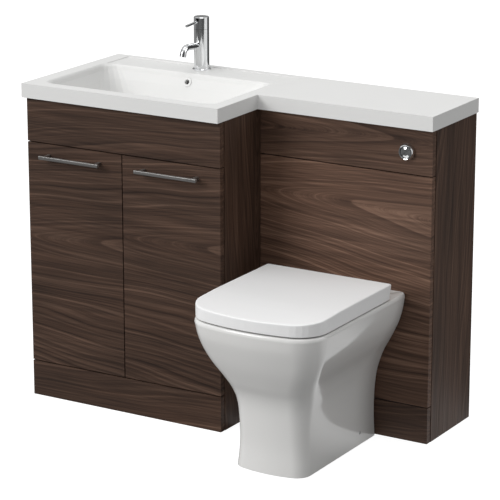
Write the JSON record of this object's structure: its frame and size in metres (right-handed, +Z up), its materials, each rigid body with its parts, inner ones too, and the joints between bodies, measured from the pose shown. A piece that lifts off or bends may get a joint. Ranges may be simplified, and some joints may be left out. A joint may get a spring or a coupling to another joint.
{
  "type": "toilet and basin combination unit",
  "caption": "Bathroom combination unit: basin cabinet with doors beside a WC cabinet with concealed cistern, L-shaped moulded top with bowl, mono tap and back-to-wall pan.",
  "frame": {"origin": "on the floor, in the middle of the whole unit's width, midway between the wall and the front of the pan", "axes": "+X to the right for someone facing the unit, +Y towards the wall, +Z up"},
  "size_m": [1.11, 0.745, 1.0081],
  "materials": {
    "front_wood": "dark walnut foil, grain running across",
    "side_wood": "dark walnut foil, grain running upright",
    "carcass": "melamine faced board in the same dark tone",
    "zinc": "zinc plated",
    "handle_metal": "brushed nickel",
    "moulded_top": "white cast marble resin with a gloss gel coat",
    "chrome": "polished chrome",
    "brass": "plain brass",
    "white_plastic": "moulded polypropylene",
    "grey_plastic": "moulded plastic",
    "tank_plastic": "blow moulded plastic",
    "ceramic": "gloss white glaze",
    "seat_plastic": "white thermoset, polished",
    "rubber": "plain black"
  },
  "bodies": {
    "unit": {"basin_left_side": "side_wood", "basin_right_side": "side_wood", "basin_base": "carcass", "basin_back": "carcass", "rails": "carcass", "shelf": "carcass", "shelf_pins": "zinc", "basin_fascia": "front_wood", "basin_plinth": "front_wood", "hinge_arms": "zinc", "panel_brackets": "zinc", "basin_top": "moulded_top", "overflow_ring": "chrome", "waste_body": "chrome", "waste_bridge": "grey_plastic", "waste_nut": "brass", "trap_tube": "white_plastic", "trap_body": "white_plastic", "trap_cup": "white_plastic", "waste_pipe": "white_plastic", "tap_base_ring": "chrome", "tap_body": "chrome", "tap_aerator": "grey_plastic", "tap_cartridge": "white_plastic", "tap_fixing": "brass", "wc_left_side": "side_wood", "wc_right_side": "side_wood", "wc_fascia": "front_wood", "wc_front_panel": "front_wood", "wc_plinth": "front_wood", "button_bezel": "chrome", "cistern_tank": "tank_plastic", "cistern_lid": "tank_plastic", "fill_valve": "white_plastic", "flush_pipe": "white_plastic", "flush_seal": "rubber", "pan": "ceramic", "pan_bowl": "ceramic", "pan_trap": "ceramic", "floor_fixings": "grey_plastic", "pan_connector": "white_plastic", "seat_hinges": "chrome"},
    "left_door": {"left_door": "front_wood", "left_handle": "handle_metal", "left_handle_screws": "zinc", "left_hinge_cups": "zinc"},
    "right_door": {"right_door": "front_wood", "right_handle": "handle_metal", "right_handle_screws": "zinc", "right_hinge_cups": "zinc"},
    "plug": {"waste_plug": "chrome"},
    "tap_head": {"tap_cap": "chrome", "tap_spindle": "brass"},
    "lever": {"tap_lever": "chrome"},
    "full_flush": {"full_flush_plate": "chrome"},
    "half_flush": {"half_flush_plate": "chrome"},
    "flush_valve": {"flush_valve": "grey_plastic"},
    "float": {"float_arm": "grey_plastic"},
    "seat": {"seat": "seat_plastic"},
    "lid": {"lid": "seat_plastic"}
  },
  "joints": [
    {"name": "left_door_hinge", "type": "hinge", "parent": "unit", "child": "left_door", "pos_m": [-0.543, -0.0675, 0.403], "axis": [0, 0, -1], "range_deg": [0, 95]},
    {"name": "right_door_hinge", "type": "hinge", "parent": "unit", "child": "right_door", "pos_m": [0.043, -0.0675, 0.403], "axis": [0, 0, 1], "range_deg": [0, 95]},
    {"name": "seat_hinge", "type": "hinge", "parent": "unit", "child": "seat", "pos_m": [0.3, 0.0385, 0.415], "axis": [-1, 0, 0], "range_deg": [0, 95]},
    {"name": "lid_hinge", "type": "hinge", "parent": "seat", "child": "lid", "pos_m": [0.3, 0.0385, 0.415], "axis": [1, 0, 0], "range_deg": [-95, 0]},
    {"name": "tap_turn", "type": "hinge", "parent": "unit", "child": "tap_head", "pos_m": [-0.25, 0.3225, 0.975], "axis": [0, 0, 1], "range_deg": [-45, 45]},
    {"name": "lever_lift", "type": "hinge", "parent": "tap_head", "child": "lever", "pos_m": [-0.25, 0.3125, 0.9975], "axis": [-1, 0, 0], "range_deg": [0, 15]},
    {"name": "plug_slide", "type": "slide", "parent": "unit", "child": "plug", "axis": [0, 0, 1], "range_m": [0, 0.008]},
    {"name": "full_flush_press", "type": "slide", "parent": "unit", "child": "full_flush", "axis": [0, 1, 0], "range_m": [0, 0.005], "stiffness_N_per_m": 400, "springref_m": -0.002},
    {"name": "half_flush_press", "type": "slide", "parent": "unit", "child": "half_flush", "axis": [0, 1, 0], "range_m": [0, 0.005], "stiffness_N_per_m": 400, "springref_m": -0.002},
    {"name": "flush_valve_lift", "type": "slide", "parent": "unit", "child": "flush_valve", "axis": [0, 0, 1], "range_m": [0, 0.02]},
    {"name": "float_swing", "type": "hinge", "parent": "unit", "child": "float", "pos_m": [0.43, 0.2725, 0.674], "axis": [0, 1, 0], "range_deg": [0, 25]}
  ],
  "couplings": [
    {"joint": "flush_valve_lift", "follows": "full_flush_press", "ratio": 4}
  ]
}
